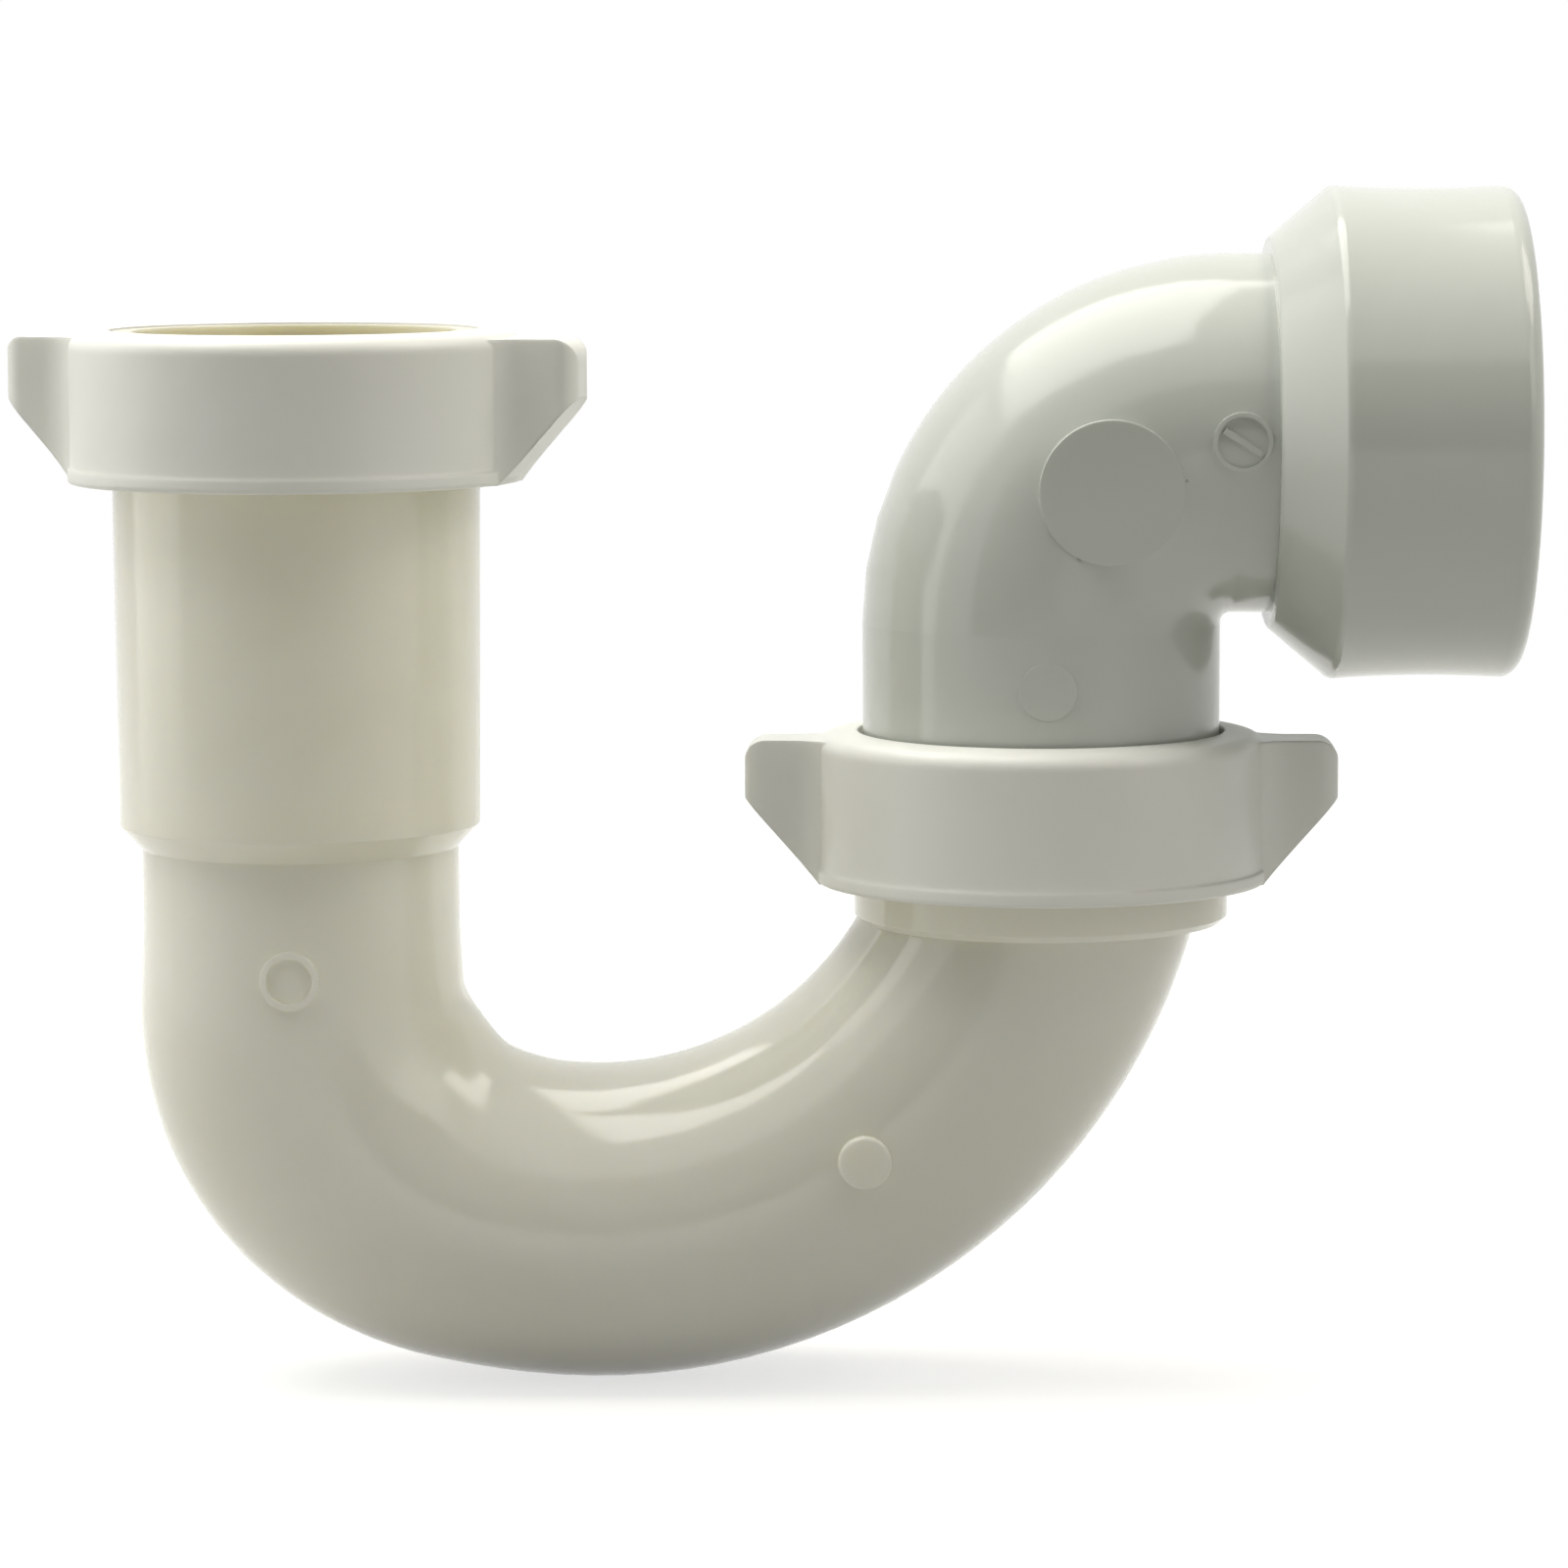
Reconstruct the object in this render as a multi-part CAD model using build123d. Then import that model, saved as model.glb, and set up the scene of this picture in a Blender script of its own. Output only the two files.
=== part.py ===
"""Sink trap: a J-bend, two slip-joint wing nuts with their washers, and an outlet elbow with a hub.

Millimetres and degrees. The origin is the centre of the inlet rim, +Z points up along the inlet
and +X towards the outlet. The front of the trap, with its moulded marks, faces -Y.
"""
from build123d import *

import os
from math import cos, degrees, pi, radians, sin, sqrt

# Layout of the J-bend's centreline
INLET_TO_OUTLET = 89.3
LEG_LENGTH = 74.5
HEEL_RADIUS = 27.7
HEEL_TURN = 73.0
HEEL_BULGE = 1.5
HEEL_EASE = 10.0
HEEL_SECTIONS = 17
OUTLET_LEAN = 15.0
COLLAR_OVERRUN = 7.0

# Tube and the sockets that take a tube of the same size
TUBE_RADIUS = 19.05
TUBE_WALL = 2.0
SLIP_CLEARANCE = 0.4
SOCKET_WALL = 2.2
SOCKET_TAPER = 0.35
SOCKET_DEPTH = 51.2
SHOULDER_THICKNESS = 3.5
SHOULDER_SLOPE = 2.8
MOUTH_BEVEL = 1.8

# Threaded ends, plain at the thread's root
RIM_LAND = 1.25
THREAD_LENGTH = 13.2
COLLAR_RELIEF = 0.5
COLLAR_LENGTH = 18.3
COLLAR_CHAMFER = 0.8

# Washers
WASHER_THICKNESS = 2.0
WASHER_OVERHANG = 0.6
WASHER_CLEARANCE = 0.3
WASHER_TIP = 1.4
LIP_BELOW_CROWN = 0.2
SEAT_GAP = 0.05

# Wing nuts
NUT_WALL = 3.0
THREAD_ROOM = 0.9
NUT_SKIRT = 13.5
CROWN_EDGE = 2.0
CROWN_RISE = 0.6
CROWN_GAP = 0.65
CROWN_FLAT = 1.6
NUT_ROUND = 2.0
FOOT_HEIGHT = 1.7
FOOT_LEDGE = 0.35
FOOT_ROUND = 0.5
WING_REACH = 8.75
WING_WIDTH = 8.0
WING_DROP = 0.4
WING_TIP_HEIGHT = 7.0
WING_FOOT_INSET = 0.3
WING_BLEND = 6.0
WING_PLAN_ROUND = 2.4
WING_TOP_ROUND = 2.6
INLET_NUT_TURN = -13.0
UNION_NUT_TURN = -2.0

# Outlet elbow
ELBOW_STEP = 2.4
ELBOW_WALL = 2.85
ELBOW_CROTCH_RADIUS = 1.15
ELBOW_NECK = 17.7
SPIGOT_DEPTH = 13.9
SPIGOT_WALL = 2.2
SPIGOT_CHAMFER = 0.6

# Solvent-weld hub on the elbow
HUB_BORE_RADIUS = 24.2
HUB_BORE_DEPTH = 19.0
HUB_WALL = 5.3
HUB_WAIST = 0.45
HUB_NECK = 4.4
HUB_STEP = 1.8
HUB_CONE_LENGTH = 7.35
HUB_LENGTH = 29.8
HUB_RIM_ROUND = 2.2
HUB_STEP_ROUND = 0.9
HUB_CORNER_ROUND = 1.2
HUB_LEAD_IN = 0.8

# Moulded marks on the front
MARK_RAISE = 0.35
MARK_RING_RADIUS = 3.5
LEG_RING_WIDTH = 0.8
LEG_RING_ABOVE_HEEL = 3.1
BARRED_RING_WIDTH = 0.5
BAR_WIDTH = 0.7
BAR_END_GAP = 0.4
BAR_TILT = -32.5
BUTTON_RADIUS = 3.2
BUTTON_RAISE = 0.9
BUTTON_ROUND = 0.5
BUTTON_TURN = 35.3
PAD_RADIUS = 8.5
PAD_RAISE = 0.1
PAD_TURN = 47.8
EJECTOR_RADIUS = 3.4
EJECTOR_RAISE = 0.05
EJECTOR_BELOW_BEND = 6.5

# Sizes that follow from those above
HEEL = radians(HEEL_TURN)
LEAN = radians(OUTLET_LEAN)
WIDE_RADIUS = (INLET_TO_OUTLET - HEEL_RADIUS * (1 - cos(HEEL))) / (cos(HEEL) + cos(LEAN))
WIDE_TURN = 180 - HEEL_TURN - OUTLET_LEAN + COLLAR_OVERRUN
WIDE_CENTRE_X = HEEL_RADIUS + (WIDE_RADIUS - HEEL_RADIUS) * cos(HEEL)
WIDE_CENTRE_Z = -LEG_LENGTH + (WIDE_RADIUS - HEEL_RADIUS) * sin(HEEL)
OUTLET_STOP_Z = WIDE_CENTRE_Z - WIDE_RADIUS * sin(LEAN)
OUTLET_RIM_Z = OUTLET_STOP_Z + SPIGOT_DEPTH
WATERWAY_RADIUS = TUBE_RADIUS - TUBE_WALL
SOCKET_BORE_RADIUS = TUBE_RADIUS + SLIP_CLEARANCE
SOCKET_RADIUS = SOCKET_BORE_RADIUS + SOCKET_WALL
ELBOW_TUBE_RADIUS = TUBE_RADIUS + ELBOW_STEP
ELBOW_MOUTH_RADIUS = ELBOW_TUBE_RADIUS + WASHER_CLEARANCE
THREAD_RADIUS = ELBOW_MOUTH_RADIUS + RIM_LAND
COLLAR_RADIUS = THREAD_RADIUS - COLLAR_RELIEF
NUT_BORE_RADIUS = THREAD_RADIUS + THREAD_ROOM
NUT_RADIUS = NUT_BORE_RADIUS + NUT_WALL
NUT_OPENING_RADIUS = ELBOW_TUBE_RADIUS + CROWN_GAP
WASHER_TOP_Z = SEAT_GAP + WASHER_THICKNESS
CROWN_UNDER_Z = WASHER_TOP_Z + SEAT_GAP
NUT_SHOULDER_Z = CROWN_UNDER_Z + CROWN_EDGE
WING_ROOT_RADIUS = NUT_RADIUS - NUT_ROUND + sqrt(NUT_ROUND ** 2 - (NUT_ROUND - WING_DROP) ** 2)
CROWN_Z = NUT_SHOULDER_Z + CROWN_RISE
WASHER_RADIUS = THREAD_RADIUS + WASHER_OVERHANG
SPIGOT_END_Z = SEAT_GAP - SPIGOT_DEPTH
ELBOW_BORE_RADIUS = ELBOW_TUBE_RADIUS - ELBOW_WALL
ELBOW_BEND_RADIUS = ELBOW_TUBE_RADIUS + ELBOW_CROTCH_RADIUS
HUB_AXIS_Z = ELBOW_NECK + ELBOW_BEND_RADIUS
HUB_START = ELBOW_BEND_RADIUS + HUB_NECK
HUB_END = HUB_START + HUB_LENGTH
HUB_RADIUS = HUB_BORE_RADIUS + HUB_WALL


def turned(*outline):
    """Solid of revolution about Z from (radius, height) corner points."""
    return revolve(Plane.XZ * make_face(Polyline(*outline, close=True)), Axis.Z)


def rounded(profile, corner, radius):
    """Profile with the corner nearest to a point rounded off."""
    return fillet(profile.vertices().sort_by_distance(Vector(*corner))[0], radius)


def front_disc(x, z, radius, front):
    """Disc that reaches from the middle plane to a flat face at a distance in front of it."""
    return extrude(Plane.XZ * Pos(x, z) * Circle(radius), front)


def front_ring(x, z, width, front):
    """Narrow raised ring, a moulded mark."""
    outer = front_disc(x, z, MARK_RING_RADIUS, front)
    return outer - front_disc(x, z, MARK_RING_RADIUS - width, front)


def bend_lines():
    """Centreline from the inlet rim into the collar: leg, heel with its easings, wide sweep."""
    ease_turn = degrees(HEEL_EASE / WIDE_RADIUS)
    leg = Line((0, 0), (0, HEEL_EASE - LEG_LENGTH))
    ease_in = Line(leg @ 1, (0, -LEG_LENGTH))
    bend = JernArc(ease_in @ 1, ease_in % 1, HEEL_RADIUS, HEEL_TURN)
    ease_out = JernArc(bend @ 1, bend % 1, WIDE_RADIUS, ease_turn)
    wide = JernArc(ease_out @ 1, ease_out % 1, WIDE_RADIUS, WIDE_TURN - ease_turn)
    return [Wire((Plane.XZ * line).edges()) for line in (leg, ease_in + bend + ease_out, wide)]


def across(line, share):
    """Plane across a centreline, with its Y axis in the plane of the bend."""
    return Plane(line @ share, x_dir=(0, 1, 0), z_dir=line % share)


def round_bar(line, radius):
    """Round bar along one line of a centreline."""
    return sweep(across(line, 0) * Circle(radius), path=line)


def full_heel(line):
    """The heel's outside, round where its easings end and fuller in the plane of the bend between."""
    sections = []
    for number in range(HEEL_SECTIONS):
        share = number / (HEEL_SECTIONS - 1)
        swell = HEEL_BULGE * sin(pi * share) ** 2
        sections.append(across(line, share) * Ellipse(TUBE_RADIUS, TUBE_RADIUS + swell))
    return loft(sections)


def bend_outside():
    """Outside of the bent tube."""
    leg, heel, wide = bend_lines()
    return round_bar(leg, TUBE_RADIUS) + full_heel(heel) + round_bar(wide, TUBE_RADIUS)


def waterway():
    """Inside of the bent tube, round all the way."""
    leg, heel, wide = [round_bar(line, WATERWAY_RADIUS) for line in bend_lines()]
    return leg + heel + wide


def inlet_socket():
    """Outside of the inlet: threaded end, tapering socket and the shoulder down to the tube."""
    shoulder_z = -SOCKET_DEPTH - SHOULDER_THICKNESS
    return turned(
        (0, 0),
        (THREAD_RADIUS, 0),
        (THREAD_RADIUS, -THREAD_LENGTH),
        (SOCKET_RADIUS + SOCKET_TAPER, -THREAD_LENGTH),
        (SOCKET_RADIUS, shoulder_z),
        (TUBE_RADIUS, shoulder_z - SHOULDER_SLOPE),
        (0, shoulder_z - SHOULDER_SLOPE),
    )


def inlet_bore():
    """Room for the tailpiece, with a bevelled mouth for the washer."""
    return turned(
        (0, 0),
        (SOCKET_BORE_RADIUS + MOUTH_BEVEL, 0),
        (SOCKET_BORE_RADIUS, -MOUTH_BEVEL),
        (SOCKET_BORE_RADIUS, -SOCKET_DEPTH),
        (0, -SOCKET_DEPTH),
    )


def outlet_collar():
    """Outside of the outlet: threaded end above a plain collar."""
    return turned(
        (0, 0),
        (THREAD_RADIUS, 0),
        (THREAD_RADIUS, -THREAD_LENGTH),
        (COLLAR_RADIUS, -THREAD_LENGTH),
        (COLLAR_RADIUS, -COLLAR_LENGTH + COLLAR_CHAMFER),
        (COLLAR_RADIUS - COLLAR_CHAMFER, -COLLAR_LENGTH),
        (0, -COLLAR_LENGTH),
    )


def outlet_bore():
    """Room for the elbow's spigot, with a flat stop and a cone that follows the elbow's step."""
    cone = ELBOW_MOUTH_RADIUS - SOCKET_BORE_RADIUS
    return turned(
        (0, 0),
        (ELBOW_MOUTH_RADIUS, 0),
        (SOCKET_BORE_RADIUS, -cone),
        (SOCKET_BORE_RADIUS, -SPIGOT_DEPTH),
        (0, -SPIGOT_DEPTH),
    )


def bend_marks():
    """Ring on the leg and round button on the wide sweep, both on the tube's front."""
    turn = radians(BUTTON_TURN)
    button_x = WIDE_CENTRE_X + WIDE_RADIUS * sin(turn)
    button_z = WIDE_CENTRE_Z - WIDE_RADIUS * cos(turn)
    button = front_disc(button_x, button_z, BUTTON_RADIUS, TUBE_RADIUS + BUTTON_RAISE)
    button = fillet(button.edges().sort_by(Axis.Y)[0], BUTTON_ROUND)
    ring_z = LEG_RING_ABOVE_HEEL - LEG_LENGTH
    ring = front_ring(0, ring_z, LEG_RING_WIDTH, TUBE_RADIUS + MARK_RAISE)
    return button + ring


def j_bend():
    """The J-bend, one moulding."""
    at_outlet = Pos(INLET_TO_OUTLET, 0, OUTLET_RIM_Z)
    outside = bend_outside() + inlet_socket() + at_outlet * outlet_collar() + bend_marks()
    return outside - waterway() - inlet_bore() - at_outlet * outlet_bore()


def inlet_washer():
    """Bevelled washer with a lip that stands in the nut's opening. The inlet rim is at z = 0."""
    lip_radius = NUT_OPENING_RADIUS - WASHER_CLEARANCE
    bevel_top = SOCKET_BORE_RADIUS + MOUTH_BEVEL - WASHER_CLEARANCE
    return turned(
        (SOCKET_BORE_RADIUS, -WASHER_TIP),
        (bevel_top - WASHER_TIP, -WASHER_TIP),
        (bevel_top, SEAT_GAP),
        (WASHER_RADIUS, SEAT_GAP),
        (WASHER_RADIUS, WASHER_TOP_Z),
        (lip_radius, WASHER_TOP_Z),
        (lip_radius, CROWN_Z - LIP_BELOW_CROWN),
        (SOCKET_BORE_RADIUS, CROWN_Z - LIP_BELOW_CROWN),
    )


def union_washer():
    """Flat sealing ring round the elbow's tube. The outlet rim is at z = 0."""
    return turned(
        (ELBOW_MOUTH_RADIUS, SEAT_GAP),
        (WASHER_RADIUS, SEAT_GAP),
        (WASHER_RADIUS, WASHER_TOP_Z),
        (ELBOW_MOUTH_RADIUS, WASHER_TOP_Z),
    )


def nut_shell():
    """Turned body of a nut, solid inside, with a coned crown and a narrow ledge round its foot."""
    shoulder = (NUT_RADIUS, NUT_SHOULDER_Z)
    foot = (NUT_RADIUS + FOOT_LEDGE, -NUT_SKIRT)
    ledge_z = FOOT_HEIGHT - NUT_SKIRT
    outline = Polyline(
        (0, CROWN_Z),
        (NUT_OPENING_RADIUS + CROWN_FLAT, CROWN_Z),
        shoulder,
        (NUT_RADIUS, ledge_z),
        (NUT_RADIUS + FOOT_LEDGE, ledge_z),
        foot,
        (0, -NUT_SKIRT),
        close=True,
    )
    profile = rounded(make_face(outline), shoulder, NUT_ROUND)
    profile = rounded(profile, foot, FOOT_ROUND)
    return revolve(Plane.XZ * profile, Axis.Z)


def wing_plan(root, reach):
    """Plan of both wings: a rounded bar through a disc, with a concave blend in each corner."""
    blend_y = WING_WIDTH / 2 + WING_BLEND
    blend_x = sqrt((root + WING_BLEND) ** 2 - blend_y ** 2)
    web = make_face(Polyline((0, 0), (blend_x, blend_y), (blend_x, -blend_y), close=True))
    web -= Pos(blend_x, blend_y) * Circle(WING_BLEND)
    web -= Pos(blend_x, -blend_y) * Circle(WING_BLEND)
    bar = RectangleRounded(2 * reach, WING_WIDTH, WING_PLAN_ROUND)
    return Circle(root) + bar + web + mirror(web, Plane.YZ)


def wings():
    """Two wings along X: their plan, blended into the nut's round body, cut to their side view."""
    reach = NUT_RADIUS + WING_REACH
    foot = NUT_RADIUS - WING_FOOT_INSET
    top = NUT_SHOULDER_Z - WING_DROP
    side = make_face(Polyline(
        (-reach, top),
        (reach, top),
        (reach, top - WING_TIP_HEIGHT),
        (foot, -NUT_SKIRT),
        (-foot, -NUT_SKIRT),
        (-reach, top - WING_TIP_HEIGHT),
        close=True,
    ))
    side = rounded(side, (reach, top), WING_TOP_ROUND)
    side = rounded(side, (-reach, top), WING_TOP_ROUND)
    plan = wing_plan(WING_ROOT_RADIUS, reach)
    blank = Pos(0, 0, -NUT_SKIRT) * extrude(plan, NUT_SKIRT + top)
    return blank & extrude(Plane.XZ * side, reach, both=True)


def wing_nut():
    """Slip-joint nut. The rim that its washer sits on is at z = 0."""
    bore = turned(
        (0, -NUT_SKIRT),
        (NUT_BORE_RADIUS, -NUT_SKIRT),
        (NUT_BORE_RADIUS, CROWN_UNDER_Z),
        (NUT_OPENING_RADIUS, CROWN_UNDER_Z),
        (NUT_OPENING_RADIUS, CROWN_Z),
        (0, CROWN_Z),
    )
    return nut_shell() + wings() - bore


def elbow_path():
    """Centreline from the outlet rim up the neck and round to the start of the hub."""
    neck = Line((0, 0), (0, ELBOW_NECK))
    bend = JernArc(neck @ 1, neck % 1, ELBOW_BEND_RADIUS, -90)
    run = Line(bend @ 1, (HUB_END - HUB_BORE_DEPTH, HUB_AXIS_Z))
    return Plane.XZ * (neck + bend + run)


def elbow_bar(radius):
    """Round bar along the elbow's centreline."""
    return sweep(Circle(radius), path=elbow_path())


def spigot():
    """Outside of the spigot below the rim, stepping in from the elbow's tube."""
    return turned(
        (0, 0),
        (ELBOW_TUBE_RADIUS, 0),
        (TUBE_RADIUS, -ELBOW_STEP),
        (TUBE_RADIUS, SPIGOT_END_Z + SPIGOT_CHAMFER),
        (TUBE_RADIUS - SPIGOT_CHAMFER, SPIGOT_END_Z),
        (0, SPIGOT_END_Z),
    )


def spigot_bore():
    """Waterway through the spigot, opening into the elbow's wider one."""
    narrow = TUBE_RADIUS - SPIGOT_WALL
    return turned(
        (0, SPIGOT_END_Z),
        (narrow, SPIGOT_END_Z),
        (narrow, -ELBOW_STEP),
        (ELBOW_BORE_RADIUS, 0),
        (0, 0),
    )


def hub():
    """Outside of the hub along Z: stepped cone, slightly waisted barrel and rounded rim."""
    step = (ELBOW_TUBE_RADIUS + HUB_STEP, HUB_START)
    corner = (HUB_RADIUS, HUB_START + HUB_CONE_LENGTH)
    rim = (HUB_RADIUS, HUB_END)
    barrel = ThreePointArc(corner, (HUB_RADIUS - HUB_WAIST, (corner[1] + HUB_END) / 2), rim)
    ends = Polyline(rim, (0, HUB_END), (0, HUB_START), step, corner)
    profile = rounded(make_face(barrel + ends), step, HUB_STEP_ROUND)
    profile = rounded(profile, corner, HUB_CORNER_ROUND)
    profile = rounded(profile, rim, HUB_RIM_ROUND)
    return revolve(Plane.XZ * profile, Axis.Z)


def hub_bore():
    """Socket for the drain pipe along Z, with a lead-in at its mouth."""
    return turned(
        (0, HUB_END - HUB_BORE_DEPTH),
        (HUB_BORE_RADIUS, HUB_END - HUB_BORE_DEPTH),
        (HUB_BORE_RADIUS, HUB_END - HUB_LEAD_IN),
        (HUB_BORE_RADIUS + HUB_LEAD_IN, HUB_END),
        (0, HUB_END),
    )


def elbow_marks():
    """Flat round pad on the bend, barred ring by the hub and ejector mark on the neck."""
    turn = radians(PAD_TURN)
    pad_x = ELBOW_BEND_RADIUS * (1 - cos(turn))
    pad_z = ELBOW_NECK + ELBOW_BEND_RADIUS * sin(turn)
    ring_front = ELBOW_TUBE_RADIUS + MARK_RAISE
    bar_length = 2 * (MARK_RING_RADIUS - BARRED_RING_WIDTH - BAR_END_GAP)
    bar_plan = Rot(0, 0, BAR_TILT) * Rectangle(bar_length, BAR_WIDTH)
    bar = extrude(Plane.XZ * Pos(ELBOW_BEND_RADIUS, HUB_AXIS_Z) * bar_plan, ring_front)
    pad = front_disc(pad_x, pad_z, PAD_RADIUS, ELBOW_TUBE_RADIUS + PAD_RAISE)
    ring = front_ring(ELBOW_BEND_RADIUS, HUB_AXIS_Z, BARRED_RING_WIDTH, ring_front)
    ejector_z = ELBOW_NECK - EJECTOR_BELOW_BEND
    ejector = front_disc(0, ejector_z, EJECTOR_RADIUS, ELBOW_TUBE_RADIUS + EJECTOR_RAISE)
    return pad + ring + bar + ejector


def outlet_elbow():
    """Elbow with its spigot and hub, one moulding. The outlet rim is at z = 0."""
    along_hub = Pos(0, 0, HUB_AXIS_Z) * Rot(0, 90, 0)
    outside = elbow_bar(ELBOW_TUBE_RADIUS) + spigot() + along_hub * hub() + elbow_marks()
    return outside - elbow_bar(ELBOW_BORE_RADIUS) - spigot_bore() - along_hub * hub_bore()


def trap():
    """Every piece of the trap in its place, by name."""
    at_outlet = Pos(INLET_TO_OUTLET, 0, OUTLET_RIM_Z)
    return {
        "j_bend": j_bend(),
        "inlet_washer": inlet_washer(),
        "inlet_nut": Rot(0, 0, INLET_NUT_TURN) * wing_nut(),
        "union_washer": at_outlet * union_washer(),
        "union_nut": at_outlet * Rot(0, 0, UNION_NUT_TURN) * wing_nut(),
        "outlet_elbow": at_outlet * outlet_elbow(),
    }


os.makedirs("parts", exist_ok=True)
for name, piece in trap().items():
    export_step(piece, f"parts/{name}.step")
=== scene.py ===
"""Looks of a sink trap: its plastics, the screw threads under its wing nuts, and a studio around it."""
import logging
import math
from dataclasses import dataclass
from enum import Enum
from typing import Any, ClassVar, Union

import bmesh
import bpy
from mathutils import Matrix, Vector


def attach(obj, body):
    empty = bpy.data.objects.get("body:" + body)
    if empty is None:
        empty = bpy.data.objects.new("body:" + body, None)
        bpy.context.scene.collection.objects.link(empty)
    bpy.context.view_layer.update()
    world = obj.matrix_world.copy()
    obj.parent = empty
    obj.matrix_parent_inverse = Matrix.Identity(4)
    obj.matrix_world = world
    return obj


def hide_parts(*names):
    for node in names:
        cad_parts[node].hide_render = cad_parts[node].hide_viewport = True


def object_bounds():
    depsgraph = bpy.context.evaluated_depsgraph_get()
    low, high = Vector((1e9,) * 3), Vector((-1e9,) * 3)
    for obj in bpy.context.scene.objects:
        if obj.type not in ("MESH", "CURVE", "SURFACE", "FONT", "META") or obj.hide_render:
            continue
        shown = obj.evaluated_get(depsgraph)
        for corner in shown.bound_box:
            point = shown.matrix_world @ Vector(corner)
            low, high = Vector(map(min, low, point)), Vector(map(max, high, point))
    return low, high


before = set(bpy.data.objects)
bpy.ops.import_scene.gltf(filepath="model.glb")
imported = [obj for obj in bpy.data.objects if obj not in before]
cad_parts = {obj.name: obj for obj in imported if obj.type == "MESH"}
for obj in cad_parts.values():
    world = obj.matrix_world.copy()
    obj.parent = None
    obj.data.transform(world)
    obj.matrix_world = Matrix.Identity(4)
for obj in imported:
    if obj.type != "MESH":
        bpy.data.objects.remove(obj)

CAD_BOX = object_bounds()
MM = 0.001
NEARNESS = 0.001 * MM
HALF_TURN = 180.0
IMAGE_WIDTH = 1600
SENSOR_WIDTH = 36.0
WHITE = (1.0, 1.0, 1.0, 1.0)

Colour = tuple[float, float, float, float]
Triple = tuple[float, float, float]
Socket = bpy.types.NodeSocket
Value = Union[float, int, bool, Triple, Colour, Socket, bpy.types.Material]

log = logging.getLogger("sink_trap")


class Node(Enum):
    """The trap's moulded pieces, by the names of their CAD nodes."""

    J_BEND = "j_bend"
    INLET_WASHER = "inlet_washer"
    INLET_NUT = "inlet_nut"
    UNION_WASHER = "union_washer"
    UNION_NUT = "union_nut"
    OUTLET_ELBOW = "outlet_elbow"


class Facing(Enum):
    """Which way a screw thread's ridge points from its root, as a turn of its profile."""

    OUTWARDS = -90.0
    INWARDS = 90.0


def add_node(
    tree: bpy.types.NodeTree, kind: str, inputs: dict[Any, Value], **settings: Any
) -> bpy.types.Node:
    """Adds a node and fills its inputs.

    Args:
        tree: The tree that gets the node.
        kind: Blender's name of the node's type.
        inputs: Values or sockets to link, by the name or number of the input.
        **settings: The node's own properties.

    Returns:
        The new node.
    """
    made = tree.nodes.new(kind)
    for key, setting in settings.items():
        setattr(made, key, setting)
    for key, value in inputs.items():
        if isinstance(value, Socket):
            tree.links.new(value, made.inputs[key])
        else:
            made.inputs[key].default_value = value
    return made


def math_node(tree: bpy.types.NodeTree, operation: str, *values: Value) -> Socket:
    """Adds a Math node.

    Args:
        tree: The tree that gets the node.
        operation: Blender's name of the operation.
        *values: Numbers or sockets, in order.

    Returns:
        The socket with the result.
    """
    return add_node(tree, "ShaderNodeMath", dict(enumerate(values)), operation=operation).outputs["Value"]


def ramp(
    tree: bpy.types.NodeTree, value: Socket, low: Value, high: Value, start: float, end: float
) -> Socket:
    """Maps a value smoothly from one range to another and keeps it there.

    Args:
        tree: The tree that gets the node.
        value: What is mapped.
        low: Where the ramp starts.
        high: Where the ramp ends.
        start: The result at and before the start.
        end: The result at and after the end.

    Returns:
        The socket with the result.
    """
    inputs = {"Value": value, 1: low, 2: high, 3: start, 4: end}
    return add_node(tree, "ShaderNodeMapRange", inputs, interpolation_type="SMOOTHSTEP").outputs["Result"]


def mixed(tree: bpy.types.NodeTree, share: Socket, first: Value, second: Value) -> Socket:
    """Mixes two colours by a mask.

    Args:
        tree: The tree that gets the node.
        share: The mask, 0 for the first colour and 1 for the second.
        first: A colour or a socket.
        second: A colour or a socket.

    Returns:
        The socket with the colour.
    """
    inputs = {"Factor": share, 6: first, 7: second}
    return add_node(tree, "ShaderNodeMix", inputs, data_type="RGBA").outputs[2]


def new_group(
    name: str, kind: str, takes: dict[str, str], gives: dict[str, str]
) -> tuple[bpy.types.NodeTree, bpy.types.Node, bpy.types.Node]:
    """Starts a node group.

    Args:
        name: The group's name.
        kind: Blender's type of the tree.
        takes: Socket types of its inputs, by name.
        gives: Socket types of its outputs, by name.

    Returns:
        The tree, its input node and its output node.
    """
    tree = bpy.data.node_groups.new(name, kind)
    for title, socket_type in takes.items():
        tree.interface.new_socket(title, in_out="INPUT", socket_type=socket_type)
    for title, socket_type in gives.items():
        tree.interface.new_socket(title, in_out="OUTPUT", socket_type=socket_type)
    return tree, tree.nodes.new("NodeGroupInput"), tree.nodes.new("NodeGroupOutput")


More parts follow.
